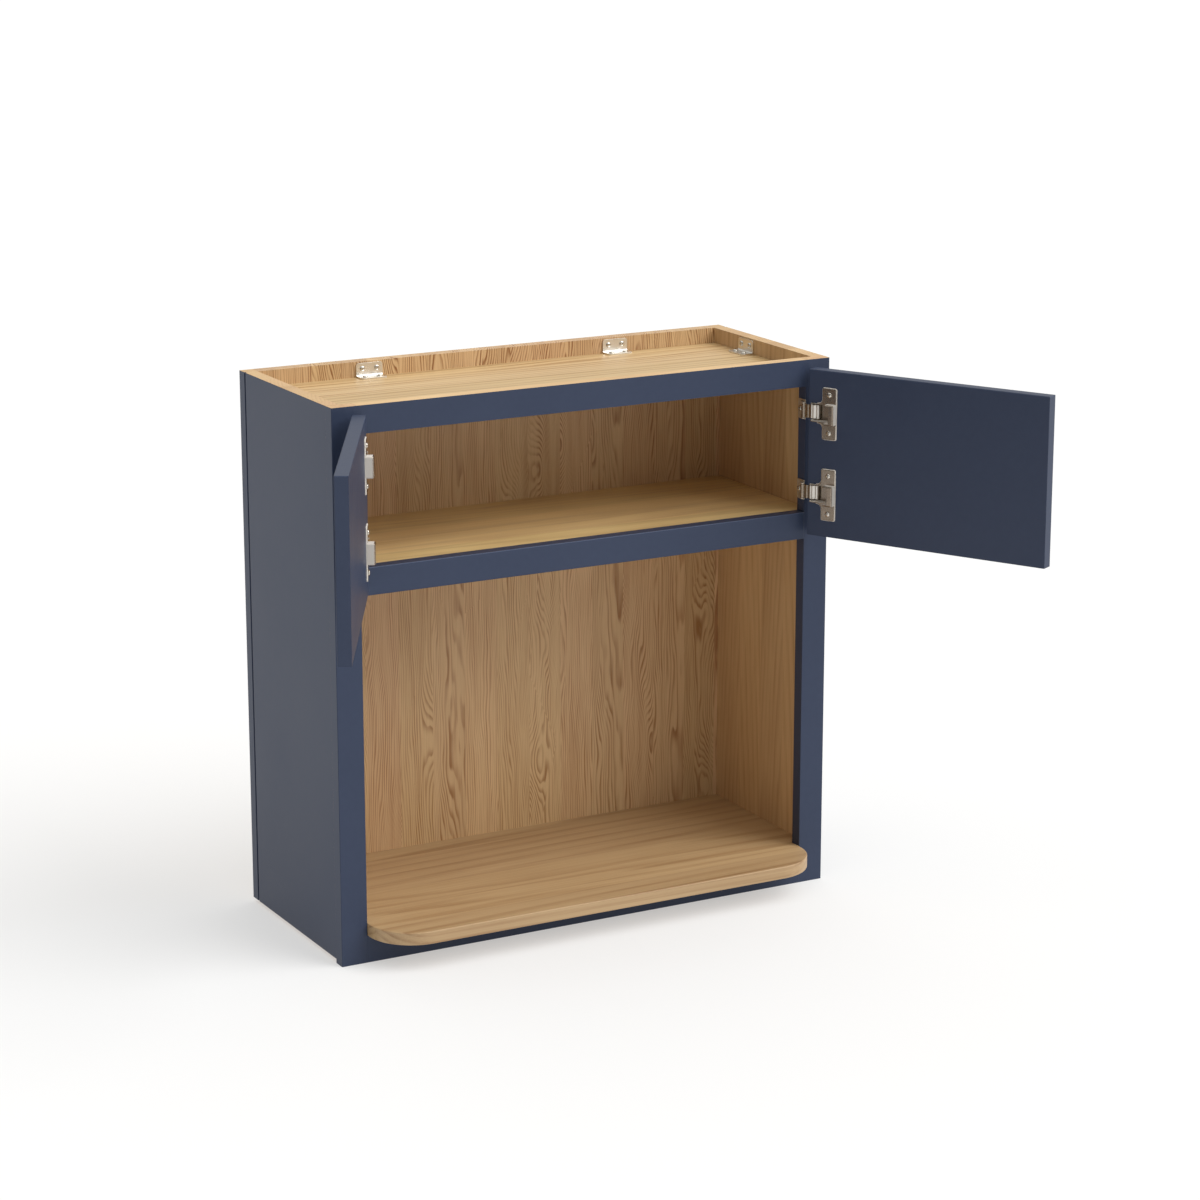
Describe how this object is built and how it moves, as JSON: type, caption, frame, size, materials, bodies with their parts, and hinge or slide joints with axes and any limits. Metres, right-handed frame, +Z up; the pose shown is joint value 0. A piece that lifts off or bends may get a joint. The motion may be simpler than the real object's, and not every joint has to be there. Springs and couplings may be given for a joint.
{
  "type": "microwave wall cabinet",
  "caption": "Face-frame wall cabinet with a two-door cupboard over an open microwave bay whose floor board reaches out as a rounded tray.",
  "frame": {"origin": "on the wall plane, at the middle of the upper hanging rail", "axes": "+X across the width to the right, +Y into the wall, +Z up"},
  "size_m": [1.0542, 0.6453, 0.768],
  "materials": {
    "navy_paint": "satin navy paint",
    "side_board": "satin navy paint outside, clear lacquered oak inside",
    "oak_board": "clear lacquered oak veneer",
    "beech_dowel": "plain beech",
    "nickel_steel": "nickel plated pressed steel"
  },
  "bodies": {
    "carcass": {"back_panel": "oak_board", "bottom_rail": "navy_paint", "bracket_screws": "nickel_steel", "cupboard_shelf": "oak_board", "floor_board": "oak_board", "frame_dowels": "beech_dowel", "left_arm_pins": "nickel_steel", "left_arm_screws": "nickel_steel", "left_lower_hinge_arm": "nickel_steel", "left_side": "side_board", "left_side_bracket": "nickel_steel", "left_stile": "navy_paint", "left_upper_hinge_arm": "nickel_steel", "lower_hanging_rail": "oak_board", "middle_rail": "navy_paint", "rear_left_bracket": "nickel_steel", "rear_right_bracket": "nickel_steel", "right_arm_pins": "nickel_steel", "right_arm_screws": "nickel_steel", "right_lower_hinge_arm": "nickel_steel", "right_side": "side_board", "right_side_bracket": "nickel_steel", "right_stile": "navy_paint", "right_upper_hinge_arm": "nickel_steel", "top_panel": "oak_board", "top_rail": "navy_paint", "upper_hanging_rail": "oak_board"},
    "left_links": {"left_lower_hinge_link": "nickel_steel", "left_upper_hinge_link": "nickel_steel"},
    "left_door": {"left_door": "navy_paint", "left_door_pins": "nickel_steel", "left_housing_screws": "nickel_steel", "left_lower_hinge_housing": "nickel_steel", "left_upper_hinge_housing": "nickel_steel"},
    "right_links": {"right_lower_hinge_link": "nickel_steel", "right_upper_hinge_link": "nickel_steel"},
    "right_door": {"right_door": "navy_paint", "right_door_pins": "nickel_steel", "right_housing_screws": "nickel_steel", "right_lower_hinge_housing": "nickel_steel", "right_upper_hinge_housing": "nickel_steel"}
  },
  "joints": [
    {"name": "left_link_hinge", "type": "hinge", "parent": "carcass", "child": "left_links", "pos_m": [-0.338, -0.3075, -0.09], "axis": [0, 0, 1], "range_deg": [-38, 0]},
    {"name": "left_door_hinge", "type": "hinge", "parent": "left_links", "child": "left_door", "pos_m": [-0.34993, -0.32634, -0.09], "axis": [0, 0, -1], "range_deg": [-156, 0]},
    {"name": "right_link_hinge", "type": "hinge", "parent": "carcass", "child": "right_links", "pos_m": [0.338, -0.3075, -0.09], "axis": [0, 0, -1], "range_deg": [-38, 0]},
    {"name": "right_door_hinge", "type": "hinge", "parent": "right_links", "child": "right_door", "pos_m": [0.34993, -0.32634, -0.09], "axis": [0, 0, 1], "range_deg": [-156, 0]}
  ],
  "couplings": [
    {"joint": "left_link_hinge", "follows": "left_door_hinge", "ratio": 0.24359},
    {"joint": "right_link_hinge", "follows": "right_door_hinge", "ratio": 0.24359}
  ]
}
